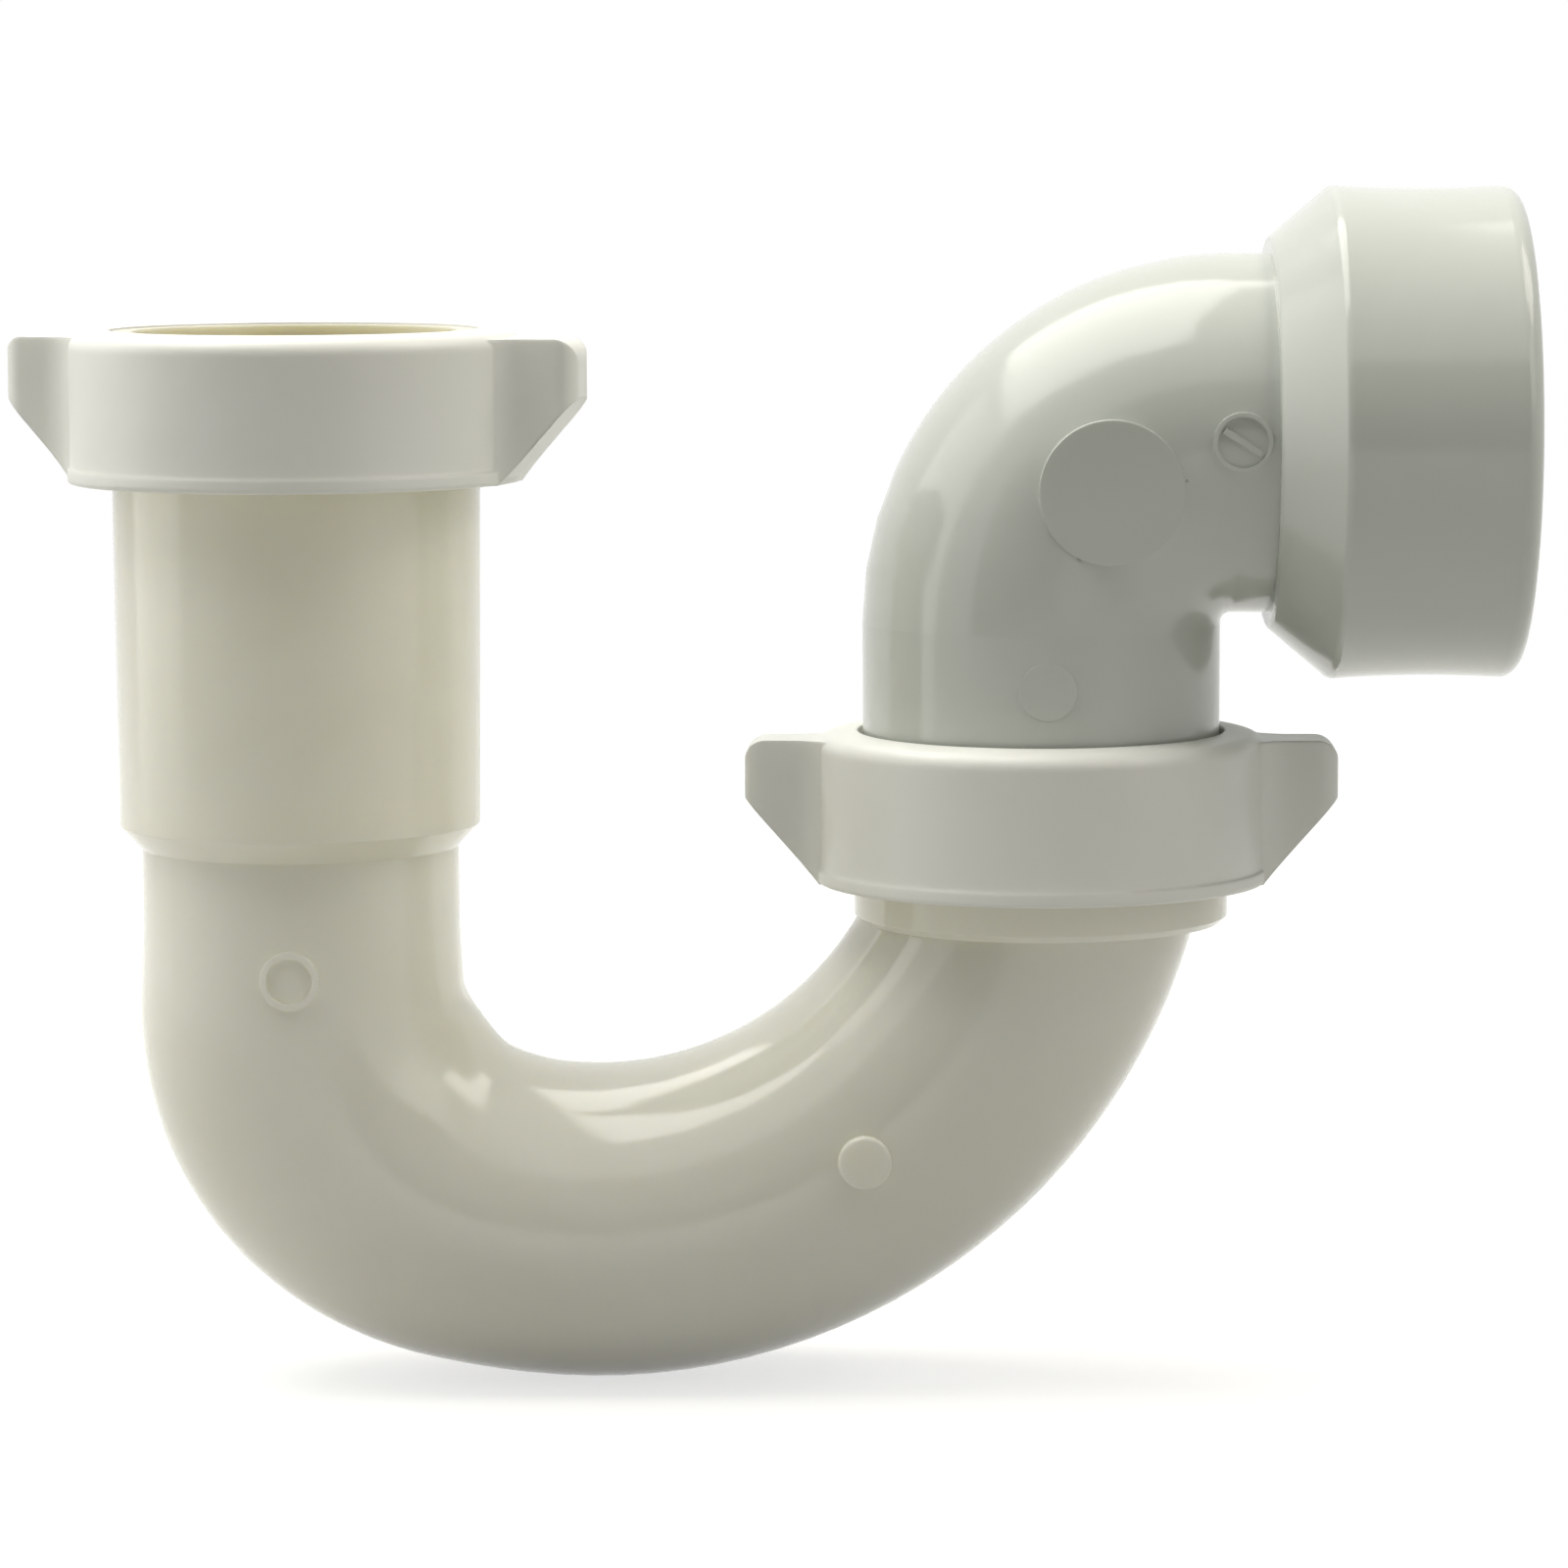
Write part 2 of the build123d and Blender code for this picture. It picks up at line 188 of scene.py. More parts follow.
class MouldEffects:
    """Shader groups for what moulded plastic shows: clouds, skin, specks, a parting line and soft edges."""

    VECTOR = "NodeSocketVector"
    FLOAT = "NodeSocketFloat"
    CLOUD_DETAIL = 3.0
    CLOUD_DISTORTION = 0.6
    CLOUD_RANGE = (0.34, 0.68)
    PEEL_DETAIL = 1.0
    GRAIN_DETAIL = 2.0
    GRAIN_FINER = 5.0
    GRAIN_SHARE = 0.22
    WEAR_DETAIL = 4.0
    WEAR_COARSER = 0.12
    WEAR_RANGE = (0.35, 0.7)
    EDGE_SAMPLES = 6

    def __init__(self) -> None:
        """Builds each group once."""
        self.clouds = self._clouds()
        self.skin = self._skin()
        self.specks = self._specks()
        self.parting = self._parting()
        self.edges = self._edges()

    def _clouds(self) -> bpy.types.NodeTree:
        """Slow drifts of tint through the plastic.

        Returns:
            A group that takes a place and a density and gives a mask.
        """
        takes = {"Place": self.VECTOR, "Density": self.FLOAT}
        tree, given, result = new_group("mould clouds", "ShaderNodeTree", takes, {"Mask": self.FLOAT})
        noise = add_node(tree, "ShaderNodeTexNoise", {
            "Vector": given.outputs["Place"], "Scale": given.outputs["Density"],
            "Detail": self.CLOUD_DETAIL, "Distortion": self.CLOUD_DISTORTION,
        })
        tree.links.new(ramp(tree, noise.outputs["Fac"], *self.CLOUD_RANGE, 0.0, 1.0), result.inputs["Mask"])
        return tree

    def _skin(self) -> bpy.types.NodeTree:
        """Fine unevenness of the moulded skin.

        Returns:
            A group that takes a place and a density and gives a height and a wear value.
        """
        takes = {"Place": self.VECTOR, "Density": self.FLOAT}
        gives = {"Height": self.FLOAT, "Wear": self.FLOAT}
        tree, given, result = new_group("mould skin", "ShaderNodeTree", takes, gives)
        place, density = given.outputs["Place"], given.outputs["Density"]
        peel = self._noise(tree, place, density, self.PEEL_DETAIL)
        finer = math_node(tree, "MULTIPLY", density, self.GRAIN_FINER)
        grain = self._noise(tree, place, finer, self.GRAIN_DETAIL)
        grain_part = math_node(tree, "MULTIPLY", grain, self.GRAIN_SHARE)
        tree.links.new(math_node(tree, "ADD", peel, grain_part), result.inputs["Height"])
        coarser = math_node(tree, "MULTIPLY", density, self.WEAR_COARSER)
        patches = self._noise(tree, place, coarser, self.WEAR_DETAIL)
        tree.links.new(ramp(tree, patches, *self.WEAR_RANGE, 0.0, 1.0), result.inputs["Wear"])
        return tree

    @staticmethod
    def _noise(tree: bpy.types.NodeTree, place: Socket, density: Socket, detail: float) -> Socket:
        """Adds a Noise Texture.

        Args:
            tree: The tree that gets the node.
            place: Where it is looked up.
            density: Its scale.
            detail: How many finer layers it has.

        Returns:
            The socket with the noise.
        """
        inputs = {"Vector": place, "Scale": density, "Detail": detail}
        return add_node(tree, "ShaderNodeTexNoise", inputs).outputs["Fac"]

    def _specks(self) -> bpy.types.NodeTree:
        """Rare, faintly darker grains that got into the melt.

        Returns:
            A group that takes a place, a density, a size and a share and gives a mask.
        """
        takes = {"Place": self.VECTOR, "Density": self.FLOAT, "Size": self.FLOAT, "Share": self.FLOAT}
        tree, given, result = new_group("mould specks", "ShaderNodeTree", takes, {"Mask": self.FLOAT})
        inputs = {"Vector": given.outputs["Place"], "Scale": given.outputs["Density"]}
        cells = add_node(tree, "ShaderNodeTexVoronoi", inputs)
        drawn = add_node(tree, "ShaderNodeSeparateColor", {"Color": cells.outputs["Color"]})
        chosen = math_node(tree, "LESS_THAN", drawn.outputs["Red"], given.outputs["Share"])
        near = math_node(tree, "LESS_THAN", cells.outputs["Distance"], given.outputs["Size"])
        tree.links.new(math_node(tree, "MULTIPLY", chosen, near), result.inputs["Mask"])
        return tree

    def _parting(self) -> bpy.types.NodeTree:
        """Low ridge where the two halves of the mould meet, in the trap's middle plane.

        Returns:
            A group that takes a place and a width and gives a mask.
        """
        takes = {"Place": self.VECTOR, "Width": self.FLOAT}
        tree, given, result = new_group("mould parting", "ShaderNodeTree", takes, {"Mask": self.FLOAT})
        axes = add_node(tree, "ShaderNodeSeparateXYZ", {"Vector": given.outputs["Place"]})
        off = math_node(tree, "ABSOLUTE", axes.outputs["Y"])
        tree.links.new(ramp(tree, off, 0.0, given.outputs["Width"], 1.0, 0.0), result.inputs["Mask"])
        return tree

    def _edges(self) -> bpy.types.NodeTree:
        """Edges that the mould leaves slightly round.

        Returns:
            A group that takes a radius and gives a normal.
        """
        takes, gives = {"Radius": self.FLOAT}, {"Normal": self.VECTOR}
        tree, given, result = new_group("mould edges", "ShaderNodeTree", takes, gives)
        inputs = {"Radius": given.outputs["Radius"]}
        bevel = add_node(tree, "ShaderNodeBevel", inputs, samples=self.EDGE_SAMPLES)
        tree.links.new(bevel.outputs["Normal"], result.inputs["Normal"])
        return tree


@dataclass(frozen=True)
class Plastic:
    """A moulded plastic's finish.

    Colours are linear. Lengths are in metres.
    """

    name: str
    colour: Colour
    drift: Colour
    drift_size: float
    rough_low: float
    rough_high: float
    peel_size: float
    peel_height: float
    edge_radius: float
    speck_share: float
    parting_width: float
    parting_height: float
    see_through: float
    see_depth: Triple
    see_scale: float
    ior: float = 1.5
    speck_colour: Colour = (0.44, 0.43, 0.38, 1.0)
    speck_spacing: float = 7.5 * MM
    speck_size: float = 0.036

    def material(self, effects: MouldEffects) -> bpy.types.Material:
        """Builds the finish as a material.

        Args:
            effects: The shader groups that it draws on.

        Returns:
            The material.
        """
        made = bpy.data.materials.new(self.name)
        made.use_nodes = True
        tree = made.node_tree
        shader = tree.nodes["Principled BSDF"]
        place = add_node(tree, "ShaderNodeTexCoord", {}).outputs["Object"]
        clouds = self._effect(tree, effects.clouds, {"Place": place, "Density": 1.0 / self.drift_size})
        skin = self._effect(tree, effects.skin, {"Place": place, "Density": 1.0 / self.peel_size})
        specks = self._effect(tree, effects.specks, {
            "Place": place, "Density": 1.0 / self.speck_spacing, "Size": self.speck_size,
            "Share": self.speck_share,
        })
        parting = self._effect(tree, effects.parting, {"Place": place, "Width": self.parting_width})
        edges = self._effect(tree, effects.edges, {"Radius": self.edge_radius})
        tint = mixed(tree, clouds.outputs["Mask"], self.colour, self.drift)
        tint = mixed(tree, specks.outputs["Mask"], tint, self.speck_colour)
        tree.links.new(tint, shader.inputs["Base Color"])
        rough = ramp(tree, skin.outputs["Wear"], 0.0, 1.0, self.rough_low, self.rough_high)
        tree.links.new(rough, shader.inputs["Roughness"])
        peel = add_node(tree, "ShaderNodeBump", {
            "Distance": self.peel_height, "Height": skin.outputs["Height"],
            "Normal": edges.outputs["Normal"],
        })
        ridge = add_node(tree, "ShaderNodeBump", {
            "Distance": self.parting_height, "Height": parting.outputs["Mask"],
            "Normal": peel.outputs["Normal"],
        })
        tree.links.new(ridge.outputs["Normal"], shader.inputs["Normal"])
        shader.inputs["IOR"].default_value = self.ior
        shader.inputs["Subsurface Weight"].default_value = self.see_through
        shader.inputs["Subsurface Radius"].default_value = self.see_depth
        shader.inputs["Subsurface Scale"].default_value = self.see_scale
        return made

    @staticmethod
    def _effect(
        tree: bpy.types.NodeTree, group: bpy.types.NodeTree, inputs: dict[Any, Value]
    ) -> bpy.types.Node:
        """Places a shared effect in a material.

        Args:
            tree: The material's tree.
            group: The effect.
            inputs: The effect's inputs, by name.

        Returns:
            The group node.
        """
        return add_node(tree, "ShaderNodeGroup", inputs, node_tree=group)


BEND_PLASTIC = Plastic(
    name="cream polypropylene",
    colour=(0.88, 0.865, 0.76, 1.0), drift=(0.855, 0.838, 0.725, 1.0), drift_size=28.0 * MM,
    rough_low=0.11, rough_high=0.18, peel_size=2.2 * MM, peel_height=0.01 * MM,
    edge_radius=0.16 * MM, speck_share=0.05, parting_width=0.3 * MM, parting_height=0.06 * MM,
    see_through=0.5, see_depth=(1.0, 0.92, 0.7), see_scale=4.0 * MM,
)
NUT_PLASTIC = Plastic(
    name="white polypropylene",
    colour=(0.87, 0.872, 0.83, 1.0), drift=(0.84, 0.84, 0.79, 1.0), drift_size=22.0 * MM,
    rough_low=0.38, rough_high=0.48, peel_size=1.1 * MM, peel_height=0.014 * MM,
    edge_radius=0.6 * MM, speck_share=0.03, parting_width=0.2 * MM, parting_height=0.0,
    see_through=0.18, see_depth=(1.0, 0.98, 0.92), see_scale=1.6 * MM,
)
WASHER_PLASTIC = Plastic(
    name="cream polyethylene",
    colour=(0.77, 0.735, 0.58, 1.0), drift=(0.73, 0.69, 0.53, 1.0), drift_size=18.0 * MM,
    rough_low=0.3, rough_high=0.4, peel_size=1.4 * MM, peel_height=0.01 * MM,
    edge_radius=0.3 * MM, speck_share=0.0, parting_width=0.2 * MM, parting_height=0.0,
    see_through=0.5, see_depth=(1.0, 0.9, 0.62), see_scale=3.5 * MM,
)
ELBOW_PLASTIC = Plastic(
    name="white rigid vinyl",
    colour=(0.62, 0.645, 0.6, 1.0), drift=(0.598, 0.622, 0.575, 1.0), drift_size=30.0 * MM,
    rough_low=0.13, rough_high=0.2, peel_size=2.6 * MM, peel_height=0.012 * MM,
    edge_radius=0.16 * MM, speck_share=0.05, parting_width=0.3 * MM, parting_height=0.05 * MM,
    see_through=0.12, see_depth=(1.0, 1.0, 0.95), see_scale=1.2 * MM,
)


@dataclass(frozen=True)
class BendSkin:
    """The J-bend with its heel drawn true: a round tube that swells in the plane of the bend.

    The swelling starts and ends at nothing, an easing length before and after the heel. The CAD's
    loft overshoots there by a hair, so each corner of its outside is drawn onto the true section.
    Lengths are in metres and turns in radians.

    Attributes:
        reach: How far off the true section a corner may lie and still be drawn onto it.
        overrun: How far past the ends of the swelling the loft may stray.
        weld: How close corners on a seam may stand before they become one.
        on_section: How near the true section a corner lies that takes its normal.
        least_facing: How closely a face has to agree with that normal, as a cosine.
    """

    KEPT_NORMAL: ClassVar[str] = "kept_normal"

    name: str = "j_bend_skin"
    tube_radius: float = 19.05 * MM
    leg_length: float = 74.5 * MM
    leg_above: float = 7.2 * MM
    heel_radius: float = 27.7 * MM
    heel_turn: float = math.radians(73.0)
    wide_radius: float = 55.391 * MM
    ease: float = 10.0 * MM
    bulge: float = 1.5 * MM
    reach: float = 0.15 * MM
    overrun: float = 0.4 * MM
    weld: float = 0.25 * MM
    on_section: float = 0.02 * MM
    least_facing: float = 0.8

    @property
    def run(self) -> float:
        """Length of the centreline over which the heel swells."""
        return 2.0 * self.ease + self.heel_radius * self.heel_turn

    @property
    def _wide_centre(self) -> tuple[float, float]:
        """Centre of the wide sweep, across and up."""
        wider = self.wide_radius - self.heel_radius
        return (self.heel_radius + wider * math.cos(self.heel_turn),
                wider * math.sin(self.heel_turn) - self.leg_length)

    def build(self, node: Node, slot: str, finish: bpy.types.Material) -> bpy.types.Object:
        """Draws the piece and lets it stand for the CAD node.

        Args:
            node: The CAD node.
            slot: Its slot in the record. Not used.
            finish: Its material.

        Returns:
            The piece.
        """
        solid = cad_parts[node.value].data
        shape = bmesh.new()
        shape.from_mesh(solid)
        kept = shape.loops.layers.float_vector.new(self.KEPT_NORMAL)
        for face in shape.faces:
            for loop in face.loops:
                loop[kept] = solid.corner_normals[loop.index].vector
        bmesh.ops.remove_doubles(shape, verts=shape.verts, dist=NEARNESS)
        seams = [corner for corner in shape.verts if self._settle(corner)]
        bmesh.ops.remove_doubles(shape, verts=seams, dist=self.weld)
        bmesh.ops.dissolve_degenerate(shape, edges=shape.edges, dist=NEARNESS)
        flaps = [face for face in shape.faces if any(edge.is_boundary for edge in face.edges)]
        bmesh.ops.delete(shape, geom=flaps, context="FACES")
        mesh = bpy.data.meshes.new(self.name)
        shape.to_mesh(mesh)
        shape.free()
        mesh.shade_smooth()
        mesh.normals_split_custom_set(self._normals(mesh))
        mesh.attributes.remove(mesh.attributes[self.KEPT_NORMAL])
        mesh.materials.append(finish)
        piece = bpy.data.objects.new(self.name, mesh)
        bpy.context.scene.collection.objects.link(piece)
        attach(piece, node.value)
        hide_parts(node.value)
        return piece

    def _normals(self, mesh: bpy.types.Mesh) -> list[Vector]:
        """Finds the normals: the true section's on the leg and the heel, the CAD's everywhere else.

        Args:
            mesh: The drawn piece.

        Returns:
            A normal for each corner of a face.
        """
        normals = [Vector(item.vector) for item in mesh.attributes[self.KEPT_NORMAL].data]
        for face in mesh.polygons:
            for index in face.loop_indices:
                true = self._outward(mesh.vertices[mesh.loops[index].vertex_index].co)
                if true is not None and face.normal.dot(true) > self.least_facing:
                    normals[index] = true
        return normals

    def _outward(self, point: Vector) -> Vector | None:
        """Finds which way the leg's or the heel's outside faces.

        Args:
            point: A point of the mesh.

        Returns:
            The normal, or None away from that outside.
        """
        along, inwards, turn = self._place(point)
        if not -self.leg_above < along < self.run + self.reach:
            return None
        deep = self._half_depth(along)
        share = math.hypot(inwards / deep, point.y / self.tube_radius)
        if abs(share - 1.0) * self.tube_radius > self.on_section:
            return None
        slope = inwards / deep ** 2
        way = Vector((slope * math.cos(turn), point.y / self.tube_radius ** 2, slope * math.sin(turn)))
        return way.normalized()

    def _settle(self, corner: bmesh.types.BMVert) -> bool:
        """Moves a corner of the heel's outside onto the true section.

        Args:
            corner: The corner.

        Returns:
            Whether it lies on a seam at either end of the heel.
        """
        along, inwards, _ = self._place(corner.co)
        sideways = corner.co.y
        if not -self.overrun < along < self.run + self.overrun:
            return False
        share = math.hypot(inwards / self._half_depth(along), sideways / self.tube_radius)
        if abs(share - 1.0) * self.tube_radius > self.reach:
            return False
        within = self._within(along)
        corner.co = self._point(within, inwards / share, sideways / share)
        return within in (0.0, self.run)

    def _within(self, along: float) -> float:
        """Keeps a length along the centreline within the swelling."""
        return min(max(along, 0.0), self.run)

    def _half_depth(self, along: float) -> float:
        """Half the true section's depth in the plane of the bend."""
        return self.tube_radius + self.bulge * math.sin(math.pi * self._within(along) / self.run) ** 2

    def _place(self, point: Vector) -> tuple[float, float, float]:
        """Finds a point's place along the bend.

        Args:
            point: A point of the mesh.

        Returns:
            Length along the centreline from the start of the swelling, distance from the centreline
            towards the inside of the bend, and the turn of the bend there.
        """
        turn = math.atan2(-self.leg_length - point.z, self.heel_radius - point.x)
        if turn < 0.0:
            return self.ease - self.leg_length - point.z, point.x, 0.0
        if turn < self.heel_turn:
            far = math.hypot(self.heel_radius - point.x, self.leg_length + point.z)
            return self.ease + self.heel_radius * turn, self.heel_radius - far, turn
        across, up = self._wide_centre
        turn = math.atan2(up - point.z, across - point.x)
        along = self.run - self.ease + self.wide_radius * (turn - self.heel_turn)
        return along, self.wide_radius - math.hypot(across - point.x, up - point.z), turn

    def _point(self, along: float, inwards: float, sideways: float) -> Vector:
        """Finds the point at a place along the bend.

        Args:
            along: Length along the centreline from the start of the swelling.
            inwards: Distance from the centreline towards the inside of the bend.
            sideways: Distance from the plane of the bend.

        Returns:
            The point.
        """
        if along < self.ease:
            return Vector((inwards, sideways, self.ease - self.leg_length - along))
        if along < self.run - self.ease:
            turn = (along - self.ease) / self.heel_radius
            far = self.heel_radius - inwards
            across, up = self.heel_radius, -self.leg_length
        else:
            turn = self.heel_turn + (along - self.run + self.ease) / self.wide_radius
            far = self.wide_radius - inwards
            across, up = self._wide_centre
        return Vector((across - far * math.cos(turn), sideways, up - far * math.sin(turn)))


class ThreadTree:
    """Geometry Nodes tree that winds a ridge of trapezoid section into a screw thread."""

    FLOAT = "NodeSocketFloat"
    SIZES = (
        "Radius", "Pitch", "Turns", "Depth", "Sink",
        "Root Width", "Crest Width", "Facing", "Phase", "Run Out",
    )
    LEAST_SCALE = 0.02

    def __init__(self, steps_per_turn: int) -> None:
        """Builds the tree.

        Args:
            steps_per_turn: How finely the helix is divided.
        """
        takes = {title: self.FLOAT for title in self.SIZES}
        takes["Base"] = "NodeSocketVector"
        takes["Finish"] = "NodeSocketMaterial"
        gives = {"Mesh": "NodeSocketGeometry"}
        tree, given, result = new_group("screw thread", "GeometryNodeTree", takes, gives)
        self.tree = tree
        size = given.outputs
        helix = self._helix(size, steps_per_turn)
        ridge = add_node(tree, "GeometryNodeCurveToMesh", {
            "Curve": helix, "Profile Curve": self._profile(size), "Scale": self._run_out(size),
            "Fill Caps": True,
        })
        turned = add_node(tree, "ShaderNodeCombineXYZ", {"Z": size["Phase"]}).outputs["Vector"]
        placed = add_node(tree, "GeometryNodeTransform", {
            "Geometry": ridge.outputs["Mesh"], "Translation": size["Base"], "Rotation": turned,
        })
        real = add_node(tree, "GeometryNodeRealizeInstances", {"Geometry": placed.outputs["Geometry"]})
        dressed = add_node(tree, "GeometryNodeSetMaterial", {
            "Geometry": real.outputs["Geometry"], "Material": size["Finish"],
        })
        tree.links.new(dressed.outputs["Geometry"], result.inputs["Mesh"])

    def _helix(self, size: Any, steps_per_turn: int) -> Socket:
        """Winds the root line, rising anticlockwise.

        Args:
            size: The tree's inputs.
            steps_per_turn: How finely the helix is divided.

        Returns:
            The curve.
        """
        rise = math_node(self.tree, "MULTIPLY", size["Pitch"], size["Turns"])
        spiral = add_node(self.tree, "GeometryNodeCurveSpiral", {
            "Resolution": steps_per_turn, "Rotations": size["Turns"], "Start Radius": size["Radius"],
            "End Radius": size["Radius"], "Height": rise, "Reverse": True,
        })
        inputs = {"Curve": spiral.outputs["Curve"]}
        return add_node(self.tree, "GeometryNodeSetCurveNormal", inputs, mode="Z_UP").outputs["Curve"]

    def _profile(self, size: Any) -> Socket:
        """Draws the ridge's section, its root sunk into what carries it.

        Args:
            size: The tree's inputs.

        Returns:
            The curve.
        """
        height = math_node(self.tree, "ADD", size["Depth"], size["Sink"])
        section = add_node(self.tree, "GeometryNodeCurvePrimitiveQuadrilateral", {
            "Height": height, "Bottom Width": size["Root Width"], "Top Width": size["Crest Width"],
            "Offset": 0.0,
        }, mode="TRAPEZOID")
        bared = math_node(self.tree, "SUBTRACT", size["Depth"], size["Sink"])
        lift = math_node(self.tree, "MULTIPLY", bared, 0.5)
        upwards = add_node(self.tree, "ShaderNodeCombineXYZ", {"Y": lift}).outputs["Vector"]
        raised = add_node(self.tree, "GeometryNodeTransform", {
            "Geometry": section.outputs["Curve"], "Translation": upwards,
        })
        facing = add_node(self.tree, "ShaderNodeCombineXYZ", {"Z": size["Facing"]}).outputs["Vector"]
        turned = add_node(self.tree, "GeometryNodeTransform", {
            "Geometry": raised.outputs["Geometry"], "Rotation": facing,
        })
        return turned.outputs["Geometry"]

    def _run_out(self, size: Any) -> Socket:
        """Lets the ridge rise from nothing at its start and fade at its end.

        Args:
            size: The tree's inputs.

        Returns:
            The section's scale along the helix.
        """
        along = add_node(self.tree, "GeometryNodeSplineParameter", {}).outputs["Factor"]
        left = math_node(self.tree, "SUBTRACT", 1.0, along)
        near = math_node(self.tree, "MINIMUM", along, left)
        turns = math_node(self.tree, "MULTIPLY", near, size["Turns"])
        share = math_node(self.tree, "DIVIDE", turns, size["Run Out"])
        full = math_node(self.tree, "MINIMUM", share, 1.0)
        return math_node(self.tree, "MAXIMUM", full, self.LEAST_SCALE)


@dataclass(frozen=True)
class Thread:
    """One screw thread and its sizes, in metres, turns and degrees."""

    name: str
    body: Node
    slot: str
    base: Triple
    radius: float
    facing: Facing
    turns: float
    phase: float
    pitch: float = 2.54 * MM
    depth: float = 0.65 * MM
    sink: float = 0.12 * MM
    root_width: float = 1.5 * MM
    crest_width: float = 0.7 * MM
    run_out: float = 0.35
    sharp_angle: float = 35.0

    def build(self, maker: ThreadTree, finish: bpy.types.Material) -> bpy.types.Object:
        """Winds the thread and joins it to its body.

        Args:
            maker: The tree that winds it.
            finish: Its material.

        Returns:
            The thread as a plain mesh object.
        """
        blank = bpy.data.objects.new(self.name + "_blank", bpy.data.meshes.new(self.name + "_blank"))
        bpy.context.scene.collection.objects.link(blank)
        winder = blank.modifiers.new("wind", "NODES")
        winder.node_group = maker.tree
        sizes = {
            "Radius": self.radius, "Pitch": self.pitch, "Turns": self.turns, "Depth": self.depth,
            "Sink": self.sink, "Root Width": self.root_width, "Crest Width": self.crest_width,
            "Facing": math.radians(self.facing.value), "Phase": math.radians(self.phase),
            "Run Out": self.run_out, "Base": self.base, "Finish": finish,
        }
        for item in maker.tree.interface.items_tree:
            if item.in_out == "INPUT":
                winder[item.identifier] = sizes[item.name]
        seen = blank.evaluated_get(bpy.context.evaluated_depsgraph_get())
        mesh = bpy.data.meshes.new_from_object(seen)
        mesh.name = self.name
        bpy.data.objects.remove(blank)
        self._settle(mesh)
        piece = bpy.data.objects.new(self.name, mesh)
        bpy.context.scene.collection.objects.link(piece)
        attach(piece, self.body.value)
        return piece

    def _settle(self, mesh: bpy.types.Mesh) -> None:
        """Closes the mesh, turns its faces outwards and smooths them between sharp edges.

        Args:
            mesh: The thread's mesh.
        """
        shape = bmesh.new()
        shape.from_mesh(mesh)
        bmesh.ops.remove_doubles(shape, verts=shape.verts, dist=NEARNESS)
        bmesh.ops.recalc_face_normals(shape, faces=shape.faces)
        shape.to_mesh(mesh)
        shape.free()
        mesh.shade_smooth()
        mesh.set_sharp_from_angle(angle=math.radians(self.sharp_angle))


@dataclass
class Trap:
    """The trap: six moulded pieces and the threads that hold its two joints."""

    BEND_SLOT: ClassVar[str] = "trap_pp"
    NUT_SLOT: ClassVar[str] = "nut_pp"

    outlet: Triple = (89.3 * MM, 0.0, -48.455 * MM)
    thread_radius: float = 23.0 * MM
    nut_bore_radius: float = 23.9 * MM
    male_start: float = -12.4 * MM
    male_turns: float = 4.4
    female_start: float = -12.6 * MM
    female_turns: float = 5.0
    steps_per_turn: int = 96

    def dress(self, effects: MouldEffects) -> None:
        """Gives every moulded piece its finish and winds the threads.

        Args:
            effects: The shader groups that the finishes draw on.
        """
        plastics = (BEND_PLASTIC, NUT_PLASTIC, WASHER_PLASTIC, ELBOW_PLASTIC)
        bend, nut, washer, elbow = [plastic.material(effects) for plastic in plastics]
        finishes = {
            Node.J_BEND: bend, Node.INLET_WASHER: washer, Node.INLET_NUT: nut,
            Node.UNION_WASHER: washer, Node.UNION_NUT: nut, Node.OUTLET_ELBOW: elbow,
        }
        for node, material in finishes.items():
            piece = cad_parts[node.value]
            for place in piece.material_slots:
                place.material = material
            log.info("%s: %s, %d faces", node.value, material.name, len(piece.data.polygons))
        skin = BendSkin().build(Node.J_BEND, self.BEND_SLOT, bend)
        log.info("%s: stands for %s, %d faces", skin.name, Node.J_BEND.value, len(skin.data.polygons))
        maker = ThreadTree(self.steps_per_turn)
        for thread in self.threads():
            material = bend if thread.body is Node.J_BEND else nut
            piece = thread.build(maker, material)
            log.info("%s: rides on %s, %d faces", piece.name, thread.body.value, len(piece.data.polygons))

    def threads(self) -> list[Thread]:
        """Lists the threads, each nut's ridge in the middle of its mate's groove.

        Returns:
            The four threads.
        """
        made = []
        mates = (("inlet", (0.0, 0.0, 0.0), Node.INLET_NUT), ("outlet", self.outlet, Node.UNION_NUT))
        lag = (self.female_start - self.male_start) / Thread.pitch * 2.0 * HALF_TURN
        for name, rim, nut in mates:
            male_base = (rim[0], rim[1], rim[2] + self.male_start)
            female_base = (rim[0], rim[1], rim[2] + self.female_start)
            made.append(Thread(
                name + "_thread", Node.J_BEND, self.BEND_SLOT, male_base, self.thread_radius,
                Facing.OUTWARDS, self.male_turns, 0.0,
            ))
            made.append(Thread(
                nut.value + "_thread", nut, self.NUT_SLOT, female_base, self.nut_bore_radius,
                Facing.INWARDS, self.female_turns, lag + HALF_TURN,
            ))
        return made


@dataclass(frozen=True)
class Softbox:
    """A soft studio lamp, in metres and watts."""

    name: str
    place: Triple
    width: float
    height: float
    power: float
    colour: Triple
    aim: Triple = (0.06, 0.0, -0.05)

    def build(self) -> bpy.types.Object:
        """Hangs the lamp and turns it to its aim.

        Returns:
            The lamp.
        """
        data = bpy.data.lights.new(self.name, "AREA")
        data.shape = "RECTANGLE"
        data.size = self.width
        data.size_y = self.height
        data.energy = self.power
        data.color = self.colour
        lamp = bpy.data.objects.new(self.name, data)
        lamp.location = self.place
        lamp.rotation_euler = (Vector(self.aim) - Vector(self.place)).to_track_quat("-Z", "Y").to_euler()
        bpy.context.scene.collection.objects.link(lamp)
        return lamp


